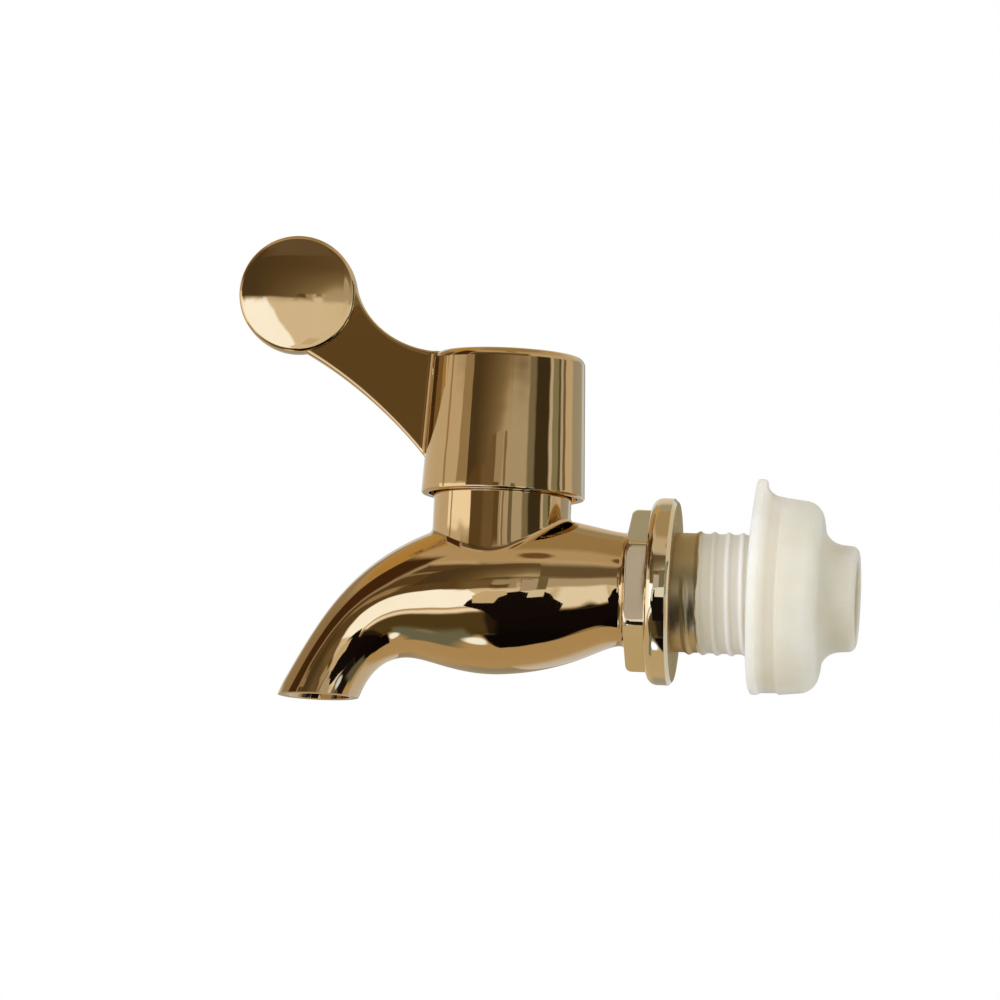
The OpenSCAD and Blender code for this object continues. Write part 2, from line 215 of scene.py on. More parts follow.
def piece(name, shells, materials, crease=32.0):
    """One mesh object from several closed shells, in metres, smooth but for edges that turn
    by more than the crease angle. Each shell is painted with one of the materials."""
    points = np.vstack([s[0] for s in shells]) * MM
    starts = np.cumsum([0] + [len(s[0]) for s in shells])
    faces, paints = [], []
    for (_, quads, tris, paint), start in zip(shells, starts):
        for part in (quads, tris):
            faces += (part + start).tolist()
            whole = np.ndim(paint) > 0 and len(paint) == len(part)
            paints.append(paint if whole else np.full(len(part), np.ravel(paint)[-1], np.int32))
    mesh = bpy.data.meshes.new(name)
    mesh.from_pydata(points.tolist(), [], faces)
    for material in materials:
        mesh.materials.append(material)
    mesh.polygons.foreach_set("material_index", np.concatenate(paints).astype(np.int32))
    mesh.polygons.foreach_set("use_smooth", np.ones(len(faces), bool))
    mesh.set_sharp_from_angle(angle=math.radians(crease))
    mesh.update()
    obj = bpy.data.objects.new(name, mesh)
    bpy.context.scene.collection.objects.link(obj)
    size = np.ptp(points, axis=0) / MM
    print(name, len(faces), "faces,", np.round(size, 1), "mm")
    return obj


# %% [markdown]
# ## Materials
# One function turns a hex colour into the linear numbers that a shader expects,
# and one adds a node with its settings and links.


# %% Helpers for materials
def linear(code):
    """An sRGB hex colour as linear red, green, blue and alpha."""
    parts = [int(code[k:k + 2], 16) / 255 for k in (1, 3, 5)]
    return tuple(c / 12.92 if c <= 0.04045 else ((c + 0.055) / 1.055) ** 2.4
                 for c in parts) + (1.0,)


def add(tree, kind, links=None, values=None, **settings):
    """A node of that kind, with its settings, its sockets' values and its links."""
    node = tree.nodes.new(kind)
    for name, value in settings.items():
        setattr(node, name, value)
    for socket, value in (values or {}).items():
        node.inputs[socket].default_value = value
    for socket, source in (links or {}).items():
        tree.links.new(source, node.inputs[socket])
    return node


def new_material(name):
    """An empty material, its node tree and its Principled shader."""
    material = bpy.data.materials.new(name)
    material.use_nodes = True
    tree = material.node_tree
    return material, tree, tree.nodes["Principled BSDF"]


# %% [markdown]
# ### Plated ABS
# The mouldings are ABS with a bright nickel layer under a thin champagne gold
# one, so the surface is a metal mirror. The mould leaves a slow waviness of a
# few millimetres, which bends the edges of reflections, and handling leaves a
# faint haze in patches.


# %% Plated plastic
def plated_plastic(name, colour, haze, clear=0.03, edge="#FFFFFF"):
    """Champagne gold plating: metal, nearly a mirror, with slow waves and hazy patches. The
    roughness goes from clear to haze, and edge tints what is seen at a flat angle."""
    material, tree, shader = new_material(name)
    place = add(tree, "ShaderNodeTexCoord").outputs["Object"]
    patches = add(tree, "ShaderNodeTexNoise", {"Vector": place},
                  {"Scale": 90.0, "Detail": 3.0, "Roughness": 0.6})
    rough = add(tree, "ShaderNodeMapRange", {"Value": patches.outputs["Fac"]},
                {"From Min": 0.35, "From Max": 0.75, "To Min": clear, "To Max": haze})
    tint = add(tree, "ShaderNodeValToRGB", {"Fac": patches.outputs["Fac"]})
    tint.color_ramp.elements[0].color = linear(colour[0])
    tint.color_ramp.elements[0].position = 0.3
    tint.color_ramp.elements[1].color = linear(colour[1])
    tint.color_ramp.elements[1].position = 0.7
    waves = add(tree, "ShaderNodeTexNoise", {"Vector": place},
                {"Scale": 260.0, "Detail": 1.0, "Roughness": 0.4})
    bump = add(tree, "ShaderNodeBump", {"Height": waves.outputs["Fac"]},
               {"Strength": 1.0, "Distance": 0.00003})
    shader.inputs["Metallic"].default_value = 1.0
    shader.inputs["Specular Tint"].default_value = linear(edge)
    tree.links.new(tint.outputs["Color"], shader.inputs["Base Color"])
    tree.links.new(rough.outputs["Result"], shader.inputs["Roughness"])
    tree.links.new(bump.outputs["Normal"], shader.inputs["Normal"])
    return material


plated = plated_plastic("plated_abs_champagne_gold", ("#D2B88F", "#CDB186"), 0.06)
# The hexagon and flange get a paler, cooler copy of the plating: painted light, standing in for the
# whiter and brighter room that these faces reflect.
pale = plated_plastic("plated_abs_collar_painted_brighter_light", ("#E0D2B6", "#DACBAC"), 0.08)
hazy = plated_plastic("thin_hazy_plating", ("#C8BB9C", "#BBAE8D"), 0.46, 0.3,
                      "#E6CFB0")


# %% [markdown]
# ### Milky polypropylene and the plastics inside
# The nut is natural polypropylene: light enters it, scatters and comes out
# again nearby, so thin edges look lighter and warmer. The bare shank is the ABS
# itself, off-white.


# %% Plain plastics and rubber
def moulded_plastic(name, light, dark, roughness, scatter=0.0, grain=0.00002, along=None,
                    hollow=False, cloud=70.0):
    """A moulded plastic or rubber: slow clouds between two tones, and a fine moulded texture.
    Where tones along X are given, as pairs of millimetres and colour, they tint the clouds.
    With hollow, the grooves of the shank's thread hold painted shade and are a little dirty: the
    tone falls towards the root, told from the distance to the X axis."""
    material, tree, shader = new_material(name)
    place = add(tree, "ShaderNodeTexCoord").outputs["Object"]
    clouds = add(tree, "ShaderNodeTexNoise", {"Vector": place},
                 {"Scale": cloud, "Detail": 3.0, "Roughness": 0.5})
    tone = add(tree, "ShaderNodeValToRGB", {"Fac": clouds.outputs["Fac"]})
    tone.color_ramp.elements[0].color = linear(dark)
    tone.color_ramp.elements[0].position = 0.32
    tone.color_ramp.elements[1].color = linear(light)
    tone.color_ramp.elements[1].position = 0.68
    texture = add(tree, "ShaderNodeTexNoise", {"Vector": place},
                  {"Scale": 420.0, "Detail": 2.0})
    bump = add(tree, "ShaderNodeBump", {"Height": texture.outputs["Fac"]},
               {"Strength": 1.0, "Distance": grain})
    colour = tone.outputs["Color"]
    if along:
        x = add(tree, "ShaderNodeSeparateXYZ", {"Vector": place}).outputs["X"]
        first, last = along[0][0], along[-1][0]
        part = add(tree, "ShaderNodeMapRange", {"Value": x},
                   {"From Min": first * MM, "From Max": last * MM})
        ramp = add(tree, "ShaderNodeValToRGB", {"Fac": part.outputs["Result"]})
        for k, (at, code) in enumerate(along):
            place_at = (at - first) / (last - first)
            stops = ramp.color_ramp.elements
            stop = stops[k] if k < 1 else stops.new(place_at) if k < len(along) - 1 else stops[-1]
            stop.position = place_at
            stop.color = linear(code)
        tint = add(tree, "ShaderNodeMix", {6: colour, 7: ramp.outputs["Color"]}, {0: 1.0},
                   data_type="RGBA", blend_type="MULTIPLY")
        colour = tint.outputs[2]
    if hollow:
        # Painted shade in the thread's grooves, which are also a little dirty: the tone darkens
        # towards the root.
        far = add(tree, "ShaderNodeVectorMath", {0: place}, {1: (0.0, 1.0, 1.0)},
                  operation="MULTIPLY")
        far = add(tree, "ShaderNodeVectorMath", {0: far.outputs[0]}, operation="LENGTH")
        crest = add(tree, "ShaderNodeMapRange", {"Value": far.outputs["Value"]},
                    {"From Min": 0.00777, "From Max": 0.00798})
        groove_shade_and_dirt = add(tree, "ShaderNodeMix", {"Factor": crest.outputs["Result"], 7: colour},
                   {6: linear("#D3CBB6")}, data_type="RGBA")
        colour = add(tree, "ShaderNodeMix", {6: groove_shade_and_dirt.outputs[2], 7: colour}, {0: 0.35},
                     data_type="RGBA").outputs[2]
    tree.links.new(colour, shader.inputs["Base Color"])
    tree.links.new(bump.outputs["Normal"], shader.inputs["Normal"])
    shader.inputs["Roughness"].default_value = roughness
    shader.inputs["IOR"].default_value = 1.49
    if scatter:
        shader.inputs["Subsurface Weight"].default_value = 1.0
        shader.inputs["Subsurface Radius"].default_value = (1.0, 0.8, 0.55)
        shader.inputs["Subsurface Scale"].default_value = scatter
    return material


# The tones along X paint light and shade into the nut: the thin lip is lighter as if lit through, a
# beige band near 12.4 mm is a painted shadow of the shank seen through the wall, and the grip and
# nose are painted darker towards the right, where less light falls.
milky = moulded_plastic("natural_polypropylene_milky", "#FBFAF8", "#F3F0E6", 0.34, 0.003,
                        cloud=130.0,
                        along=[(10.0, "#F1F2F2"), (11.3, "#EFEEEA"), (12.4, "#DED8CA"),
                               (14.4, "#E6E3D9"), (17.4, "#E1E0D9"), (18.9, "#DEDDD2"),
                               (19.2, "#DAD6C4"), (23.6, "#CCCBC4")])
# Along X the bare shank is painted darker towards the flange: painted shade in the corner beside it.
# With hollow, its thread grooves hold painted shade and are a little dirty.
bare = moulded_plastic("bare_abs_off_white", "#FCFBF8", "#F4F2EC", 0.36, 0.0012, hollow=True,
                       along=[(3.0, "#BEB6A0"), (5.0, "#D2CDC0"), (7.0, "#ECEBE9"),
                              (8.4, "#F8F7F7"), (14.5, "#F8F7F7")])
acetal = moulded_plastic("white_acetal", "#F2F0EA", "#ECE9E0", 0.3)
silicone = moulded_plastic("clear_white_silicone", "#DEDED8", "#D2D2CB", 0.5, 0.001)
rubber = moulded_plastic("nitrile_rubber_black", "#1C1C1C", "#121212", 0.42)
spring = plated_plastic("bright_spring_steel", ("#B9BCC0", "#A4A8AC"), 0.25)

INSIDE = {"seat_sleeve": silicone, "thrust_washer": acetal, "retaining_ring": spring,
          "valve_plug": acetal, "lower_o_ring": rubber, "upper_o_ring": rubber}
for node_name, material in INSIDE.items():
    node_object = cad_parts[node_name]
    node_object.data.materials.clear()
    node_object.data.materials.append(material)

# %% [markdown]
# ## The body
# Spout, belly and tail are one pipe of round sections. Its centre line and
# radius follow two cubic curves that meet under the stem with the same
# direction, so no crease shows there. The mouth is cut level: each line along
# the pipe stops where it reaches the level of the cut.

# %% The pipe of spout, belly and tail
BELLY = np.array([0.0, -1.35, 10.2])
BELLY_STEP = np.array([9.5, 0.96, 0.23])
TAIL_X = -STEM[0] - FLANGE_T - HEX_T
SHOULDER = np.array([4.85 - SPOUT_REACH, -2.0, MOUTH_R - 1.9])
SPOUT = np.array([BELLY, BELLY - BELLY_STEP, SHOULDER, [-SPOUT_REACH, -SPOUT_DROP, MOUTH_R]])
TAIL = np.array([BELLY, BELLY + BELLY_STEP, [TAIL_X - 3.7, 0.25, ROOT_R - 0.15],
                 [TAIL_X, 0.0, ROOT_R]])
WAY = np.array([[2 - CHAMBER_R, 0.0, PORT_R], [-4 - CHAMBER_R, -0.5, PORT_R],
                [SHOULDER[0], SHOULDER[1], PORT_R],
                [-SPOUT_REACH, -SPOUT_DROP, MOUTH_R - SPOUT_WALL]])
FLARE = 0.012


def pipe_point(points, t, angle, forwards):
    """A point of a pipe: the curve's centre at t, plus its radius round the way. Past t = 1 the
    pipe runs straight on while its radius settles. Angle 0 is the upper side."""
    inside = np.clip(t, 0.0, 1.0)
    past = np.clip(t - 1.0, 0.0, None)
    centre, pace = on_curve(points, inside), along_curve(points, inside)
    settle = FLARE * (1 - np.exp(-past / FLARE))
    radius = centre[..., 2] + pace[..., 2] * settle
    x = centre[..., 0] + pace[..., 0] * past
    z = centre[..., 1] + pace[..., 1] * past
    length = np.hypot(pace[..., 0], pace[..., 1]) * forwards
    way_x, way_z = pace[..., 0] / length, pace[..., 1] / length
    return np.stack([x - way_z * radius * np.cos(angle), radius * np.sin(angle),
                     z + way_x * radius * np.cos(angle)], -1)


def cut_level(points, angle, forwards, level):
    """The t at which each line along the pipe comes down to a level, by halving an interval."""
    low, high = np.full(angle.shape, 0.7), np.full(angle.shape, 1.2)
    for _ in range(40):
        middle = (low + high) / 2
        above = pipe_point(points, middle, angle, forwards)[..., 2] > level
        low, high = np.where(above, middle, low), np.where(above, high, middle)
    return (low + high) / 2


PIPE_COLUMNS = 160
round_angle = np.linspace(0, 2 * math.pi, PIPE_COLUMNS, endpoint=False)
mouth_t = cut_level(SPOUT, round_angle, -1, -SPOUT_DROP)
way_t = cut_level(WAY, round_angle, -1, -SPOUT_DROP)
share = np.linspace(0, 1, 120)[:, None]
spout_skin = pipe_point(SPOUT, share * mouth_t, np.broadcast_to(round_angle, (120, PIPE_COLUMNS)),
                        -1)
steps = np.concatenate([np.linspace(0, 0.93, 60), np.linspace(0.94, 1.0, 16)])[1:, None]
tail_skin = pipe_point(TAIL, np.broadcast_to(steps, (75, PIPE_COLUMNS)),
                       np.broadcast_to(round_angle, (75, PIPE_COLUMNS)), 1)
# A small hollow fillet lets the tail grow into the hexagon's face
to_hexagon = np.clip(TAIL_X - tail_skin[..., 0], 0, ROOT_FILLET)
swell = ROOT_FILLET - np.sqrt(np.clip(ROOT_FILLET ** 2 - (ROOT_FILLET - to_hexagon) ** 2, 0, None))
reach = np.hypot(tail_skin[..., 1], tail_skin[..., 2])
tail_skin[..., 1:] *= (1 + swell / reach)[..., None]
tail_end = np.zeros((1, PIPE_COLUMNS, 3)) + [TAIL_X + 0.6, 0.0, 0.0]

outer_rim, inner_rim = spout_skin[-1], pipe_point(WAY, way_t, round_angle, -1)
MOUTH_EDGE = 0.22
across = inner_rim - outer_rim
across /= np.linalg.norm(across, axis=-1, keepdims=True)
rim_rows = [outer_rim + across * d - np.array([0, 0, 1]) * drop for d, drop in
            ((0.0, 0.0), (0.07, 0.05), (MOUTH_EDGE, 0.08))]
gap = np.linalg.norm(inner_rim - outer_rim, axis=-1, keepdims=True)
rim_rows += [outer_rim + across * (gap - 0.18) - np.array([0, 0, 0.08]), inner_rim]
passage = pipe_point(WAY, np.linspace(0.995, 0, 60)[:, None] * way_t,
                     np.broadcast_to(round_angle, (60, PIPE_COLUMNS)), -1)
passage_end = np.zeros((1, PIPE_COLUMNS, 3)) + [3 - CHAMBER_R, 0.0, 0.0]
skin = np.concatenate([tail_end, tail_skin[::-1], spout_skin[:-1], np.array(rim_rows), passage,
                       passage_end])
pipe_shell = shell(skin + STEM)
print("mouth is", round(float(np.ptp(outer_rim[:, 0])), 2), "mm long, cut level")

# %% [markdown]
# ## The neck
# A tube round the stem stands on the belly. The line where they meet is a
# saddle, so the height of the belly's skin is looked up at each angle by a few
# Newton steps, and a small fillet is laid into the corner. The tube's top is
# the stop rim with its notch, in which the lever's lug runs.


# %% The neck on its saddle
def belly_height(x, y):
    """Height of the pipe's upper skin over a point, by Newton's method on (t, angle)."""
    t, angle = x / 27.0, np.arcsin(np.clip(y / 11.0, -0.98, 0.98))

    def surface(t, angle):
        left = pipe_point(SPOUT, np.clip(-t, 0, 1), angle, -1)
        right_ = pipe_point(TAIL, np.clip(t, 0, 1), angle, 1)
        return np.where((t < 0)[..., None], left, right_)

    for _ in range(14):
        here = surface(t, angle)
        dt, da = surface(t + 1e-4, angle) - here, surface(t, angle + 1e-4) - here
        ex, ey = x - here[..., 0], y - here[..., 1]
        det = dt[..., 0] * da[..., 1] - da[..., 0] * dt[..., 1]
        t = t + np.clip((ex * da[..., 1] - ey * da[..., 0]) / det * 1e-4, -0.1, 0.1)
        angle = angle + np.clip((ey * dt[..., 0] - ex * dt[..., 1]) / det * 1e-4, -0.3, 0.3)
    return surface(t, angle)[..., 2]


NECK_COLUMNS = 240
NECK_FILLET = 0.55
turn_angle = np.linspace(0, 2 * math.pi, NECK_COLUMNS, endpoint=False)
cos_a, sin_a = np.cos(turn_angle), np.sin(turn_angle)


def ring(radius, height):
    """One row round the stem, from a radius and a height that may change with the angle."""
    return np.stack([radius * cos_a, radius * sin_a, height + 0 * cos_a], -1)


corner = belly_height(NECK_R * cos_a, NECK_R * sin_a)
foot_r = NECK_R + NECK_FILLET
foot = belly_height(foot_r * cos_a, foot_r * sin_a)
neck_rows = [ring(0.0, -7.9), ring(7.0, -7.9), ring(7.3, -7.6), ring(7.3, -4.0),
             ring(8.0, foot - 2.0), ring(foot_r - 0.1, foot - 0.35)]
for s in np.linspace(0, 1, 9):
    radius = (1 - s) ** 2 * foot_r + 2 * s * (1 - s) * NECK_R + s * s * NECK_R
    height = (1 - s) ** 2 * foot + 2 * s * (1 - s) * corner + s * s * (corner + NECK_FILLET)
    neck_rows.append(ring(radius, height))
in_notch = (np.degrees(turn_angle) > 163.5) & (np.degrees(turn_angle) < 286.5)
rim_height = np.where(in_notch, NECK_TOP, NECK_TOP + STOP_H)
neck_rows += [ring(NECK_R, corner + (rim_height - corner) * s) for s in (0.3, 0.6, 0.9)]
neck_rows += [ring(NECK_R, rim_height - 0.15), ring(NECK_R - 0.15, rim_height),
              ring(CHAMBER_R + 0.1, rim_height), ring(CHAMBER_R, rim_height - 0.1),
              ring(CHAMBER_R, 15.7), ring(CHAMBER_R + 0.7, 15.7), ring(CHAMBER_R + 0.7, 14.8),
              ring(CHAMBER_R, 14.8), ring(CHAMBER_R, -CHAMBER_DEPTH), ring(0.0, -CHAMBER_DEPTH)]
neck_shell = shell(np.array(neck_rows) + STEM)
print("saddle from", round(float(corner.min()), 2), "to", round(float(corner.max()), 2), "mm")

# %% [markdown]
# ## Hexagon, flange and shank
# The hexagon is a round grid whose radius is pulled in to six flats, with a
# trace of roundness at the corners, and cut by a cone that bevels them. The
# thread is a helix: a ridge whose place along the shank grows with the angle.

# %% The hexagon
COLLAR_COLUMNS = 288
collar_angle = np.linspace(0, 2 * math.pi, COLLAR_COLUMNS, endpoint=False)


def ring_x(radius, x):
    """One row round the shank's axis; angle 0 points up."""
    return np.stack([x + 0 * collar_angle, -radius * np.sin(collar_angle),
                     radius * np.cos(collar_angle)], -1)


FLAT = HEX_R * math.cos(math.radians(30))
SHARPNESS = 70.0
flats = np.radians(30 + 60 * np.arange(6))[:, None]
facing = np.clip(np.cos(collar_angle - flats), 0, None) / FLAT
six_sided = (facing ** SHARPNESS).sum(0) ** (-1 / SHARPNESS)
EDGE = 0.16
hex_x = -FLANGE_T - HEX_T
hex_rows = [ring_x(0.0, hex_x + 0.3), ring_x(6.5, hex_x + 0.3), ring_x(6.6, hex_x)]
front = np.minimum(six_sided, HEX_R - HEX_BEVEL)
hex_rows += [ring_x(6.6 + (front - EDGE - 6.6) * s, hex_x) for s in (0.3, 0.6, 0.85, 0.95, 1.0)]
for depth in (0.01, 0.03, 0.07, 0.11, EDGE, 0.24, 0.32, 0.4, 0.5, 0.58, 0.9, 1.8, HEX_T + 0.3):
    bevel_cone = HEX_R - HEX_BEVEL + depth
    blend = 1 / ((1 / six_sided) ** 90 + (1 / bevel_cone) ** 90) ** (1 / 90)
    short = max(EDGE - depth, 0)
    hex_rows.append(ring_x(blend - EDGE + math.sqrt(EDGE ** 2 - short ** 2), hex_x + depth))
hex_rows.append(ring_x(0.0, hex_x + HEX_T + 0.3))
hex_shell = shell(np.array(hex_rows), 3)

# %% The flange
flange_corners = [(0, -FLANGE_T, 0), (FLANGE_R, -FLANGE_T, FLANGE_ROUND),
                  (FLANGE_R, -FLANGE_BEVEL, 0.12), (FLANGE_R - FLANGE_BEVEL, 0, 0.12),
                  (10.75, 0, 0.03), (10.65, -0.06, 0.03), (10.55, 0, 0.03),
                  (9.35, 0, 0.03), (9.25, -0.06, 0.03), (9.15, 0, 0.03), (0, 0, 0)]
flange_shell = list(shell(round_grid(rounded(flange_corners, 6), 256, "x")))
# The seating face was never polished and has only a thin, hazy plating
seat = flange_shell[0][flange_shell[1]][..., 0].min(1) > -0.07
flange_shell[3] = np.where(seat, 2, 3).astype(np.int32)

# %% The threaded shank
PITCH = 1.84
THREAD_DEPTH = 0.28
THREAD_START = 1.5
PLATED_LEN = 3.25
THREAD_COLUMNS = 200
thread_angle = np.linspace(0, 2 * math.pi, THREAD_COLUMNS, endpoint=False)


def thread_radius(x, angle):
    """Radius of the shank at a place and an angle. Counted in turns, a point's distance from
    the helix repeats every pitch, and the nearest ridge is a rounded hump. The first ridge
    starts at the camera's side and grows out of the core."""
    turns = (x - THREAD_START) / PITCH - angle / (2 * math.pi)
    nearest = np.maximum(np.round(turns), 0)
    swept = nearest * 2 * math.pi + angle
    grown = np.clip(swept / 0.35, 0, 1)
    away = np.minimum(np.abs(turns - nearest), 0.5)
    hump = (0.5 + 0.5 * np.cos(2 * math.pi * away)) ** 2.5
    return SHANK_R - THREAD_DEPTH + THREAD_DEPTH * hump * grown


thread_x = np.concatenate([[-0.6], np.arange(0.0, SHANK_LEN - 0.35, 0.05)])
xs, turns_round = np.meshgrid(thread_x, thread_angle, indexing="ij")
radius = thread_radius(xs, turns_round)
# Angle 0 of the thread lies on the camera's side, where the first ridge starts
helix = np.stack([xs, -radius * np.cos(turns_round - 0.2), -radius * np.sin(turns_round - 0.2)],
                 -1)


def ring_shank(radius, x):
    """One smooth row round the shank with the thread's columns."""
    return np.stack([x + 0 * thread_angle, -radius * np.cos(thread_angle - 0.2),
                     -radius * np.sin(thread_angle - 0.2)], -1)


shank_end = [(SHANK_R - 0.7, SHANK_LEN - 0.05), (SHANK_R - 0.8, SHANK_LEN),
             (INLET_R + 0.25, SHANK_LEN), (INLET_R, SHANK_LEN - 0.25), (INLET_R, 7.0),
             (INLET_R, 0.0), (INLET_R, -8.0), (INLET_R, -13.5), (INLET_R - 0.15, -13.65),
             (PORT_R + 0.1, -13.65), (PORT_R, -13.75), (PORT_R, -16.0)]
shank_rows = [ring_shank(0.0, -0.6)[None], helix]
shank_rows += [ring_shank(r, x)[None] for r, x in shank_end] + [ring_shank(0.0, -16.0)[None]]
shank_grid = np.concatenate(shank_rows)
shank_points, shank_quads, shank_tris, _ = shell(shank_grid)
# The plating stops raggedly a few millimetres from the flange
quad_centre = shank_points[shank_quads].mean(1)
ragged = (PLATED_LEN + 0.12 * np.sin(5 * np.arctan2(quad_centre[:, 2], quad_centre[:, 1]))
          + 0.05 * np.sin(17 * np.arctan2(quad_centre[:, 2], quad_centre[:, 1])))
outside = np.hypot(quad_centre[:, 1], quad_centre[:, 2]) > SHANK_R - 0.6
quad_paint = np.where(outside & (quad_centre[:, 0] < ragged), 2, 1).astype(np.int32)
shank_shell = (shank_points, shank_quads, shank_tris, quad_paint)

spigot = piece("spigot_moulding", [pipe_shell, neck_shell, hex_shell, flange_shell, shank_shell],
               [plated, bare, hazy, pale])
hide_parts("spigot_body")
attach(spigot, "body")

# %% [markdown]
# ## The lever
# Cap, blade and thumb disc are one moulding. The cap is turned, hollow below,
# with a thin rim. The blade is a plate whose section, a rectangle with rounded
# corners, is carried from the disc to the cap between an upper and a lower edge
# curve, and it swells a little where it meets the cap. The disc is a lens.

# %% The cap
CROWN = 0.15


def skirt_radius(z):
    """Outside radius of the cap at a height."""
    return CAP_R_LOW + (CAP_R_TOP - CAP_R_LOW) * (z - CAP_LOW) / (CAP_TOP - CAP_ROUND - CAP_LOW)


cap_corners = [(0, CAP_TOP + CROWN * 0, 0), (4.5, CAP_TOP, 0),
               (CAP_R_TOP, CAP_TOP, CAP_ROUND), (skirt_radius(12.6), 12.6, 0),
               (CAP_R_LOW, CAP_LOW, 0.3),
               (CAP_R_LOW - CAP_WALL, CAP_LOW, 0.12),
               (CAP_R_TOP - CAP_WALL - 0.1, CAP_TOP - CAP_ROOF, 0.5),
               (HUB_R, CAP_TOP - CAP_ROOF, 0.3), (HUB_R, NECK_TOP + STOP_H + 0.3, 0.2),
               (3.9, NECK_TOP + STOP_H + 0.3, 0), (3.9, CAP_TOP - CAP_ROOF - 1, 0),
               (0, CAP_TOP - CAP_ROOF - 1, 0)]
cap_shell = shell(round_grid(rounded(cap_corners, 8), 256) + STEM)

# %% The blade
HALF_T = BLADE_T / 2
BLADE_EDGE = 0.32
BLADE_FILLET = 0.7
top_way, low_way = math.radians(12), math.radians(-80)
top_from = DISC + DISC_R * np.array([math.cos(top_way), math.sin(top_way)])
low_from = DISC + DISC_R * np.array([math.cos(low_way), math.sin(low_way)])
TOP_EDGE = np.array([top_from, top_from + 4.1 * np.array([math.sin(top_way), -math.cos(top_way)]),
                     [-CAP_R_TOP - 5.6, CAP_TOP], [-CAP_R_TOP + CAP_ROUND, CAP_TOP]])
LOW_EDGE = np.array([[-CAP_R_LOW + 0.9, BLADE_FOOT - 1.2], [-CAP_R_LOW - 3.4, BLADE_FOOT + 4.2],
                     low_from + [6.1, -3.2], low_from])

BLADE_ROWS = 140
stations = np.linspace(0, 1, BLADE_ROWS)
upper, lower = on_curve(TOP_EDGE, stations), on_curve(LOW_EDGE, 1 - stations)
inset = np.array([DISC + (top_from - DISC) * 0.8, DISC + (low_from - DISC) * 0.8])
upper, lower = np.vstack([inset[:1], upper]), np.vstack([inset[1:], lower])
middle = (upper + lower) / 2
half = np.linalg.norm(upper - lower, axis=1)[:, None] / 2
lean = (upper - lower) / (2 * half)
# The section's outline: how far along the edge line, and how far out in Y
arc = np.linspace(0, math.pi / 2, 5)
flat = np.linspace(-1, 1, 40)
section = []
for side_x, side_y, first in ((1, 1, 0), (-1, 1, 1), (-1, -1, 0), (1, -1, 1)):
    turn_arc = arc[::-1] if first else arc
    section += [(side_x, -BLADE_EDGE * (1 - math.sin(a)) * side_x if False else
                 -BLADE_EDGE * (1 - math.cos(a)), side_y * (HALF_T - BLADE_EDGE * (1 - math.sin(a))))
                for a in turn_arc]
side = np.array([s[0] for s in section])
short = np.array([s[1] for s in section])
out = np.array([s[2] for s in section])
# Between the corners the broad faces get inner columns, so that the swelling has points
columns_u, columns_y = [], []
for k in range(len(side)):
    nxt = (k + 1) % len(side)
    columns_u.append((side[k], short[k], 0.0))
    columns_y.append(out[k])
    if side[k] != side[nxt] and abs(out[k] - out[nxt]) < 1e-9:
        for s in np.linspace(0, 1, 42)[1:-1]:
            columns_u.append((side[k] + (side[nxt] - side[k]) * s, short[k], s))
            columns_y.append(out[k])
spread = np.array([c[0] for c in columns_u])
pulled = np.array([c[1] for c in columns_u])
along = spread * (half + pulled)
blade_x = middle[:, :1] + lean[:, :1] * along
blade_z = middle[:, 1:] + lean[:, 1:] * along
blade_y = np.broadcast_to(np.array(columns_y), blade_x.shape)
clear = np.hypot(blade_x, blade_y) - skirt_radius(blade_z)
near = BLADE_FILLET - np.clip(clear, 0, BLADE_FILLET)
flare = BLADE_FILLET - np.sqrt(np.clip(BLADE_FILLET ** 2 - near ** 2, 0, None))
flare = np.where(clear < 0, BLADE_FILLET, flare)
blade_y = blade_y * (1 + flare / HALF_T)
blade_grid = np.stack([blade_x, blade_y, blade_z], -1)
ends = [np.broadcast_to(row.mean(0), row.shape)[None] for row in (blade_grid[0], blade_grid[-1])]
blade_shell = shell(np.concatenate([ends[0], blade_grid, ends[1]]) + STEM)

# %% The thumb disc
dome_h = (DISC_T - DISC_RIM_T) / 2
brim = 6.95
dome_r = (brim ** 2 + dome_h ** 2) / (2 * dome_h)
span = np.linspace(0, math.asin(brim / dome_r), 24)
dome = np.column_stack([dome_r * np.sin(span), DISC_T / 2 - dome_r * (1 - np.cos(span))])
bevel = rounded([(*dome[-1], 0), (DISC_R - 0.02, DISC_RIM_T / 2 - 0.12, 0.6),
                 (DISC_R, 0, 0), (DISC_R, -0.1, 0)], 8)[1:-1]
half_profile = np.vstack([dome, bevel])
profile = np.vstack([half_profile, half_profile[::-1] * [1, -1]])
disc_grid = round_grid(profile, 160, "y") + [DISC[0], 0.0, DISC[1]]
disc_shell = shell(disc_grid + STEM)

lever = piece("lever_moulding", [cap_shell, blade_shell, disc_shell], [plated])
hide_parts("lever_handle")
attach(lever, "lever")

# %% [markdown]
# ## The seal nut
# One milky moulding: a thin lip with a lug at its top, a round grip with a
# generous rounding, and a smaller nose, with a hole right through. It is turned,
# and only the lip's radius changes with the angle, where the lug reaches out.

# %% The nut
NUT_COLUMNS = 360
nut_angle = np.linspace(0, 2 * math.pi, NUT_COLUMNS, endpoint=False)
off_top = np.minimum(nut_angle, 2 * math.pi - nut_angle)
lug_far = LUG_REACH - LUG_END_R
lean_angle = math.acos((LIP_R - LUG_END_R) / lug_far)
tangent_at = math.atan2(LUG_END_R * math.sin(lean_angle),
                        lug_far + LUG_END_R * math.cos(lean_angle))
round_end = (lug_far * np.cos(off_top)
             + np.sqrt(np.clip(LUG_END_R ** 2 - (lug_far * np.sin(off_top)) ** 2, 0, None)))
straight = LIP_R / np.cos(np.clip(off_top - lean_angle, -1.2, 1.2))
lug_radius = np.where(off_top < tangent_at, round_end,
                      np.where(off_top < lean_angle, straight, LIP_R))


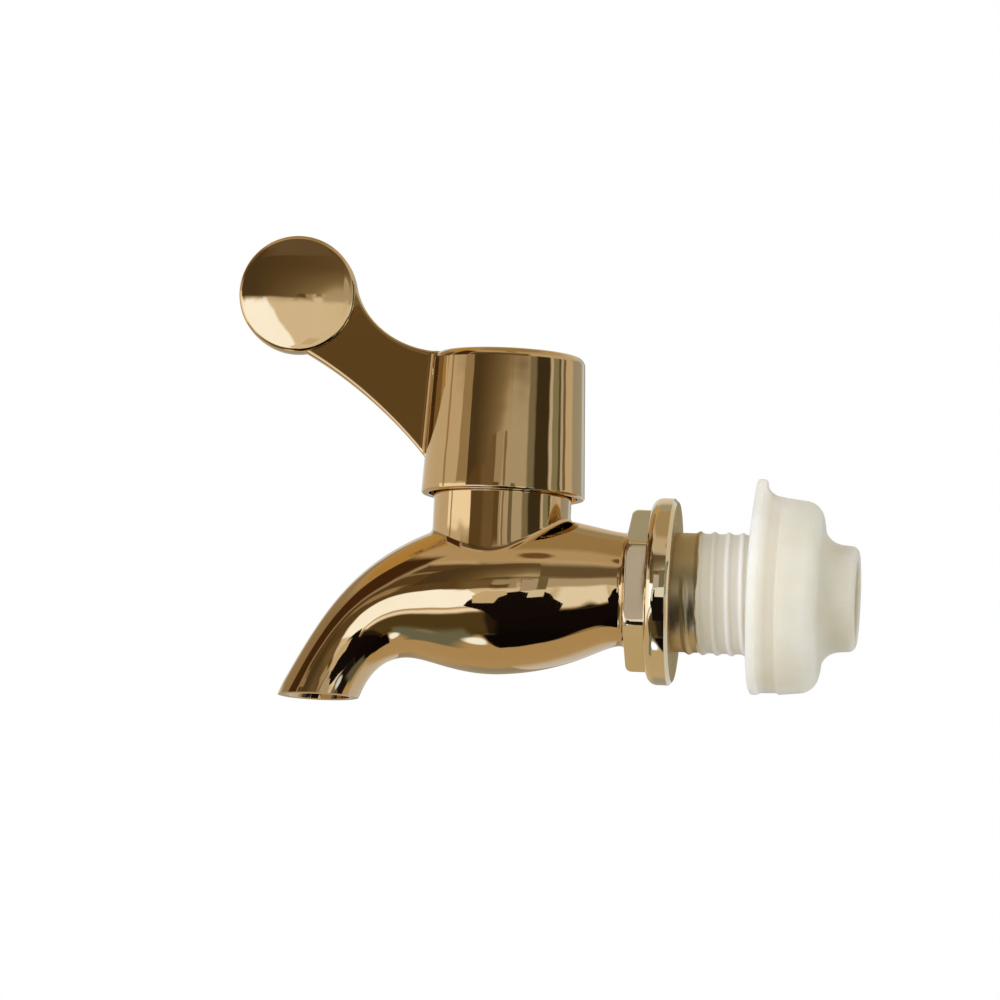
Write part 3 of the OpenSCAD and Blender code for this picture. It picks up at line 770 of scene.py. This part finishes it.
def ring_nut(radius, depth):
    """One row round the nut; angle 0 points up, depth counts from the lip's face."""
    return np.stack([NUT_GAP + depth + 0 * nut_angle, -radius * np.sin(nut_angle),
                     radius * np.cos(nut_angle)], -1)


lip_rows = [ring_nut(lug_radius - pull, depth) for pull, depth in
            ((0.6, 0.0), (0.4, 0.02), (0.2, 0.1), (0.06, 0.24), (0.0, 0.45), (0.0, 0.9),
             (0.03, 1.08), (0.1, 1.22), (0.2, 1.31))]
# Behind the lip a hollow fillet leads over to the grip. Only the lug is high enough to show
# it; elsewhere the lip stands hardly proud of the grip
for s in np.linspace(0, 1, 8)[1:]:
    hollow = GRIP_R + 0.1 + 2.0 * (1 - math.sin(s * math.pi / 2))
    lip_rows.append(ring_nut(np.minimum(lug_radius - 0.22 - 0.1 * s, hollow),
                             1.31 + 2.2 * (1 - math.cos(s * math.pi / 2))))
grip_corners = [(GRIP_R - 0.1, 3.4, 0), (GRIP_R - 0.02, 3.9, 0),
                (GRIP_R - 0.55, GRIP_LEN, GRIP_ROUND + 0.3),
                (NOSE_R + 0.15, GRIP_LEN + 0.4, NOSE_FILLET),
                (NOSE_R - 0.25, NUT_LEN, NOSE_ROUND), (INLET_R, NUT_LEN, 0.3),
                (INLET_R, NUT_BORE_LEN + 0.3, 0)]
grip = rounded(grip_corners, 10)[1:]
bore = [(INLET_R, NUT_BORE_LEN), (SHANK_R + 0.05, NUT_BORE_LEN), (SHANK_R + 0.05, 0.4),
        (SHANK_R + 0.35, 0.0)]
nut_rows = [ring_nut(SHANK_R + 0.35, 0.0), ring_nut(LIP_R - 2, 0.0)] + lip_rows
nut_rows += [ring_nut(r, d) for r, d in grip] + [ring_nut(r, d) for r, d in bore]
nut_shell = shell(np.array(nut_rows))
nut = piece("seal_nut_moulding", [nut_shell], [milky])
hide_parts("seal_nut")
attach(nut, "nut")

# %% [markdown]
# ## Studio
# To the camera the world is plain white. A mirror needs something to reflect,
# so glossy rays see a room: a bright window on the left with its frame, dark
# furniture behind the camera, a warm ceiling and a wooden table top. Each area
# of the room is a patch in compass direction and height, later ones painted
# over earlier ones, and is given by the look it has on the plating. All other
# surfaces are lit by an even pale world and two large soft lamps.

# %% The room that glossy rays see
world = bpy.data.worlds.new("studio")
bpy.context.scene.world = world
world.use_nodes = True
sky = world.node_tree
sky.nodes.clear()


def calc(tree, kind, *terms):
    """A Math node of that operation on sockets or numbers, and its result."""
    node = add(tree, "ShaderNodeMath", operation=kind)
    for k, term in enumerate(terms):
        if isinstance(term, (int, float)):
            node.inputs[k].default_value = term
        else:
            tree.links.new(term, node.inputs[k])
    return node.outputs[0]


def patch_group():
    """A node group that paints one patch over what is below it. The direction, measured from
    the patch's centre, is turned by the tilt. The patch fades out over the soft angle, and is
    a rectangle or, with the oval at 1, an ellipse."""
    tree = bpy.data.node_groups.new("room_patch", "ShaderNodeTree")
    wanted = [("Compass", "NodeSocketFloat"), ("Height", "NodeSocketFloat"),
              ("At", "NodeSocketVector"), ("Half", "NodeSocketVector"),
              ("Tilt", "NodeSocketFloat"), ("Soft", "NodeSocketFloat"),
              ("Oval", "NodeSocketFloat"), ("Below", "NodeSocketColor"),
              ("Look", "NodeSocketColor")]
    for name, kind in wanted:
        tree.interface.new_socket(name, in_out="INPUT", socket_type=kind)
    tree.interface.new_socket("Color", in_out="OUTPUT", socket_type="NodeSocketColor")
    given = add(tree, "NodeGroupInput").outputs
    at = add(tree, "ShaderNodeSeparateXYZ", {"Vector": given["At"]}).outputs
    half = add(tree, "ShaderNodeSeparateXYZ", {"Vector": given["Half"]}).outputs
    across = calc(tree, "SUBTRACT", given["Compass"], at["X"])
    above = calc(tree, "SUBTRACT", given["Height"], at["Y"])
    cos_tilt = calc(tree, "COSINE", given["Tilt"])
    sin_tilt = calc(tree, "SINE", given["Tilt"])
    u = calc(tree, "ADD", calc(tree, "MULTIPLY", across, cos_tilt),
             calc(tree, "MULTIPLY", above, sin_tilt))
    v = calc(tree, "SUBTRACT", calc(tree, "MULTIPLY", above, cos_tilt),
             calc(tree, "MULTIPLY", across, sin_tilt))
    u, v = calc(tree, "ABSOLUTE", u), calc(tree, "ABSOLUTE", v)
    # Distance inside the edge, in degrees: for the rectangle and for the ellipse
    box_in = calc(tree, "MINIMUM", calc(tree, "SUBTRACT", half["X"], u),
                  calc(tree, "SUBTRACT", half["Y"], v))
    far_u = calc(tree, "POWER", calc(tree, "DIVIDE", u, half["X"]), 2.0)
    far_v = calc(tree, "POWER", calc(tree, "DIVIDE", v, half["Y"]), 2.0)
    far = calc(tree, "SQRT", calc(tree, "ADD", far_u, far_v))
    oval_in = calc(tree, "MULTIPLY", calc(tree, "SUBTRACT", 1.0, far),
                   calc(tree, "MINIMUM", half["X"], half["Y"]))
    depth = calc(tree, "ADD", calc(tree, "MULTIPLY", oval_in, given["Oval"]),
                 calc(tree, "MULTIPLY", box_in, calc(tree, "SUBTRACT", 1.0, given["Oval"])))
    fade = add(tree, "ShaderNodeMapRange",
               {"Value": depth, "From Min": calc(tree, "MULTIPLY", given["Soft"], -1.0),
                "From Max": given["Soft"]}, interpolation_type="SMOOTHSTEP")
    mix = add(tree, "ShaderNodeMix", {"Factor": fade.outputs["Result"]}, data_type="RGBA")
    tree.links.new(given["Below"], mix.inputs[6])
    tree.links.new(given["Look"], mix.inputs[7])
    done = add(tree, "NodeGroupOutput")
    tree.links.new(mix.outputs[2], done.inputs["Color"])
    return tree


ray = add(sky, "ShaderNodeLightPath")
direction = add(sky, "ShaderNodeTexCoord").outputs["Generated"]
parts = add(sky, "ShaderNodeSeparateXYZ", {"Vector": direction}).outputs
ripple = add(sky, "ShaderNodeTexNoise", {"Vector": direction},
             {"Scale": 4.0, "Detail": 3.0, "Roughness": 0.6})
ripple = add(sky, "ShaderNodeSeparateXYZ", {"Vector": ripple.outputs["Color"]}).outputs


def wavy(value, noise, reach):
    """The angle shifted by a noise of so many degrees, so that edges aren't ruled lines."""
    shift = calc(sky, "MULTIPLY", calc(sky, "SUBTRACT", noise, 0.5), reach)
    return calc(sky, "ADD", value, shift)


toward = calc(sky, "MULTIPLY", parts["Y"], -1.0)
compass = calc(sky, "MULTIPLY", calc(sky, "ARCTAN2", parts["X"], toward), 180 / math.pi)
height = calc(sky, "MULTIPLY", calc(sky, "ARCSINE", parts["Z"]), 180 / math.pi)
compass = wavy(compass, ripple["X"], 4.0)
height = wavy(height, ripple["Y"], 1.6)

# Each row: compass from and to, height from and to, soft angle, tilt, oval, look
ROOM = [
    # Table top below, warm wall to the right and behind
    (-200, 200, -95, -6, 8.0, 0, 0, "#A9834E"),
    (95, 200, -42, 2, 8.0, 0, 0, "#B8A07C"),
    (-200, -165, -40, 2, 8.0, 0, 0, "#8A7450"),
    # Ceiling and the high left with its amber lamp shade
    (-200, 200, 44, 95, 4.0, 0, 0, "#AC8957"),
    (-200, 200, 64, 95, 5.0, 0, 0, "#94703F"),
    (-156, -95, 37, 64, 4.0, 0, 0, "#A87732"),
    (-156, -92, 18, 37, 4.0, 0, 0, "#8A6C42"),
    (-94, -62, 16, 51, 3.0, 0, 0, "#40230A"),
    (-3, 20, 48, 58, 1.5, 0, 1, "#6A4420"),
    (150, 200, 49, 64, 2.0, 0, 0, "#8F774E"),
    (-200, -156, 49, 64, 2.0, 0, 0, "#8F774E"),
    # The window low on the left, beside it a pale wall that meets it aslant
    (-98, -46, -22, 7.4, 0.5, 0, 0, "#EBCB98"),
    (-50, 2, -22, 4.3, 1.0, 0, 0, "#FAEACB"),
    (-19, 7, -17.3, 20.7, 1.0, 33.7, 0, "#CFB184"),
    (-6, 20, -24, 3.0, 2.0, 0, 0, "#CDB082"),
    (-36, -26, 3.5, 12, 1.0, 0, 0, "#B39A6A"),
    # Dark furniture on the left half of the wall behind the camera
    (-60, 0, 14, 40, 2.5, -3, 0, "#553B1B"),
    (-24, 38, 16, 40, 6.0, -3, 0, "#60482A"),
    (-62, -30, 29.0, 31.0, 1.0, -4, 0, "#8C6D42"),
    (-50, -8, 4.4, 18, 0.7, 0, 0, "#583D1C"),
    # Upright bands at eye height, from left to right
    (-66, -50, 8.6, 18, 1.0, 0, 0, "#8E7044"),
    (-91.5, -88.5, -5, 18, 1.0, 0, 0, "#8F6A3A"),
    (-28, -8, 4.6, 16, 4.0, 0, 0, "#6A4F2A"),
    (-8, 3, 3, 16, 1.5, 0, 0, "#977D54"),
    (-9.5, -1, 4.4, 9.3, 0.8, 0, 0, "#5A3F1C"),
    (4, 8, 5.2, 16, 1.2, 0, 0, "#765B36"),
    (9, 39, 3, 16, 1.5, 0, 0, "#A58C64"),
    (38, 49, -3, 20, 2.0, 0, 0, "#74613F"),
    (48, 72, -3, 22, 2.0, 0, 0, "#392A14"),
    (73, 77, 0, 20, 0.8, 0, 0, "#B59E78"),
    (77, 89, -3, 20, 1.0, 0, 0, "#7E6F4B"),
    (88, 93, -3, 20, 1.0, 0, 0, "#54431F"),
    (93, 98, -3, 20, 0.8, 0, 0, "#AA9572"),
    (98, 103, -3, 20, 1.0, 0, 0, "#6B5230"),
    (120, 152, -3, 20, 3.0, 0, 0, "#93805F"),
    (154, 166, -3, 30, 2.0, 0, 0, "#B3A280"),
    (-166, -152, -3, 30, 3.0, 0, 0, "#B8A47E"),
    (166, 200, -3, 22, 1.0, 0, 0, "#7E7556"),
    (22, 37, -28, 3, 3.0, 0, 0, "#DDC69C"),
    # Window sill and the floor in front of it
    (-64, -16, -25, -22.5, 1.0, 4, 0, "#B08D5C"),
    (-60, -16, -31, -25, 1.5, 5, 0, "#EBCFA3"),
    (-66, 2, -64, -30, 3.0, 4, 0, "#4C3817"),
    (-13, 2, -64, -26, 3.0, 0, 0, "#26190C"),
    (-108, -38, -70, -54, 5.0, 0, 0, "#665E42"),
    (-66, -28, -80, -66, 2.0, 0, 1, "#F4E9CD"),
    # The dark corner low on the right
    (-4, 79, -95, -30, 3.0, 0, 0, "#0F0805"),
    (-26, 84, -95, -62, 5.0, 0, 0, "#0B0503"),
    (37, 74, -32, -3, 2.0, 0, 0, "#1A120A"),
    (58, 82, -46, -18, 4.0, 0, 0, "#5A5038"),
    (40, 51, -13, -2, 1.5, 10, 1, "#C9C4B4"),
]
PLATING = linear("#D0B58B")
group = patch_group()
paint = None
for left_az, right_az, low, high, soft, tilt, oval, look in ROOM:
    node = add(sky, "ShaderNodeGroup", node_tree=group)
    sky.links.new(compass, node.inputs["Compass"])
    sky.links.new(height, node.inputs["Height"])
    node.inputs["At"].default_value = ((left_az + right_az) / 2, (low + high) / 2, 0)
    node.inputs["Half"].default_value = ((right_az - left_az) / 2, (high - low) / 2, 0)
    node.inputs["Tilt"].default_value = math.radians(tilt)
    node.inputs["Soft"].default_value = soft
    node.inputs["Oval"].default_value = oval
    node.inputs["Look"].default_value = linear(look)
    if paint is None:
        node.inputs["Below"].default_value = linear("#B89869")
    else:
        sky.links.new(paint, node.inputs["Below"])
    paint = node.outputs["Color"]
# Divided by the plating's own colour, the look becomes the light that causes it
undo = add(sky, "ShaderNodeMix", {6: paint}, {0: 1.0, 7: PLATING}, data_type="RGBA",
           blend_type="DIVIDE")
room = add(sky, "ShaderNodeBackground", {"Color": undo.outputs[2]}, {"Strength": 1.0})
even = add(sky, "ShaderNodeBackground", values={"Color": (1.0, 1.0, 1.0, 1.0), "Strength": 0.72})
white = add(sky, "ShaderNodeBackground", values={"Color": (1.0, 1.0, 1.0, 1.0), "Strength": 1.0})
lit = add(sky, "ShaderNodeMixShader",
          {0: ray.outputs["Is Glossy Ray"], 1: even.outputs[0], 2: room.outputs[0]})
seen = add(sky, "ShaderNodeMixShader",
           {0: ray.outputs["Is Camera Ray"], 1: lit.outputs[0], 2: white.outputs[0]})
add(sky, "ShaderNodeOutputWorld", {"Surface": seen.outputs[0]})
print(len(ROOM), "patches make the room")


# %% Two cards close to the tap
def card(name, distance, outline, look, shades=None):
    """An upright card in front of the tap that only mirrors see. Being close, it stands
    elsewhere in the disc than in the belly, as things near a real tap do. With shades, pairs
    of a share and a look, its tone changes: the share is how far right of X -150 mm a point
    is, times how far below Z 105 mm."""
    corners = np.array([[x, -distance, z] for x, z in outline]) * MM
    mesh = bpy.data.meshes.new(name)
    mesh.from_pydata(corners.tolist(), [], [tuple(range(len(outline)))])
    material = bpy.data.materials.new("card_" + name)
    material.use_nodes = True
    tree = material.node_tree
    tree.nodes.clear()
    colour = tuple(a / b for a, b in zip(linear(look), PLATING))
    glow = add(tree, "ShaderNodeEmission", values={"Color": colour, "Strength": 1.0})
    if shades:
        place = add(tree, "ShaderNodeTexCoord").outputs["Object"]
        at = add(tree, "ShaderNodeSeparateXYZ", {"Vector": place}).outputs
        rightwards = add(tree, "ShaderNodeMapRange", {"Value": at["X"]},
                         {"From Min": -0.15, "From Max": 0.0})
        downwards = add(tree, "ShaderNodeMapRange", {"Value": at["Z"]},
                        {"From Min": 0.105, "From Max": 0.055, "To Min": 0.35, "To Max": 1.0})
        share = calc(tree, "MULTIPLY", rightwards.outputs[0], downwards.outputs[0])
        ramp = add(tree, "ShaderNodeValToRGB", {"Fac": share})
        stops = ramp.color_ramp.elements
        for k, (at_share, code) in enumerate(shades):
            stop = stops[0] if k == 0 else stops[-1] if k == 1 else stops.new(at_share)
            stop.position = at_share
            stop.color = tuple(a / b for a, b in zip(linear(code), PLATING))
        tree.links.new(ramp.outputs["Color"], glow.inputs["Color"])
    add(tree, "ShaderNodeOutputMaterial", {"Surface": glow.outputs[0]})
    mesh.materials.append(material)
    made = bpy.data.objects.new(name, mesh)
    bpy.context.scene.collection.objects.link(made)
    made.visible_camera = made.visible_diffuse = made.visible_shadow = False
    made.visible_transmission = False
    return made


card("brown_card", 160, [(12, 55), (12, 128), (-200, 128), (-200, 54), (-110, 50), (-72, 49),
                         (-64, 55)], "#5A3F1C",
     [(0.0, "#48341A"), (1.0, "#A68A60"), (0.2, "#543D1E"), (0.36, "#5E4526"), (0.52, "#6A522E"),
      (0.66, "#775D37"), (0.76, "#866B41"), (0.88, "#A2865C")])
card("black_card", 110, [(-34, -95), (-37, -76), (-50, -56), (-76, -45), (-68, -30), (-57, -18),
                         (-48, -16), (-38, -6), (-27, -9), (-12, -4), (-6, -8), (6, -5),
                         (14, -9), (21, -16), (27, -32), (40, -50), (44, -95)], "#120A06")
card("tan_card", 109, [(-24, -3), (-22, -12), (-29, -20), (-33, -34), (-60, -34), (-60, -14),
                       (-46, -2)], "#BF9F6F")
card("pale_card", 60, [(-16, -3), (-9, -2), (-7.5, -1.5), (-7.5, 13), (-15, 14)], "#A28764")
card("dun_card", 60, [(-7.5, -1.5), (-1, -1.5), (-1, 20), (-7.5, 20)], "#695532")
card("cream_card", 61, [(-11, -12.4), (-1, -12.4), (-1, -1.2), (-11, -1.6)], "#C9B286")


# %% Lamps and floor
def soft_lamp(name, place, target, size, power):
    """A large square lamp that looks at a target, out of sight of mirrors."""
    data = bpy.data.lights.new(name, "AREA")
    data.shape = "SQUARE"
    data.size = size
    data.energy = power
    lamp = bpy.data.objects.new(name, data)
    bpy.context.scene.collection.objects.link(lamp)
    look = unit(np.array(target, float) - place)
    side, top = camera_axes(look, 0.0)
    pose = Matrix(np.column_stack([side, top, -look]).tolist()).to_4x4()
    lamp.matrix_world = Matrix.Translation(place) @ pose
    lamp.visible_glossy = False
    return lamp


soft_lamp("lamp_left", (-0.45, -0.85, 0.05), (0.0, 0.0, 0.0), 0.5, 4.0)
soft_lamp("lamp_right", (0.7, -0.35, 0.0), (0.0, 0.0, 0.0), 0.5, 1.3)

floor_mesh = bpy.data.meshes.new("floor")
corners = np.array([[-3, -3, 0], [3, -3, 0], [3, 3, 0], [-3, 3, 0]]) + [0, 0, -0.95]
floor_mesh.from_pydata(corners.tolist(), [], [(0, 1, 2, 3)])
floor = bpy.data.objects.new("floor", floor_mesh)
bpy.context.scene.collection.objects.link(floor)
floor_paint, floor_tree, floor_shader = new_material("pale_paper_sweep")
floor_shader.inputs["Base Color"].default_value = linear("#F4F4F2")
floor_shader.inputs["Roughness"].default_value = 0.9
floor_ray = add(floor_tree, "ShaderNodeLightPath")
floor_white = add(floor_tree, "ShaderNodeEmission",
                  values={"Color": (1.0, 1.0, 1.0, 1.0), "Strength": 1.0})
floor_look = add(floor_tree, "ShaderNodeMixShader",
                 {0: floor_ray.outputs["Is Camera Ray"], 1: floor_shader.outputs[0],
                  2: floor_white.outputs[0]})
floor_tree.links.new(floor_look.outputs[0], floor_tree.nodes["Material Output"].inputs[0])
floor_mesh.materials.append(floor_paint)
floor.visible_glossy = False
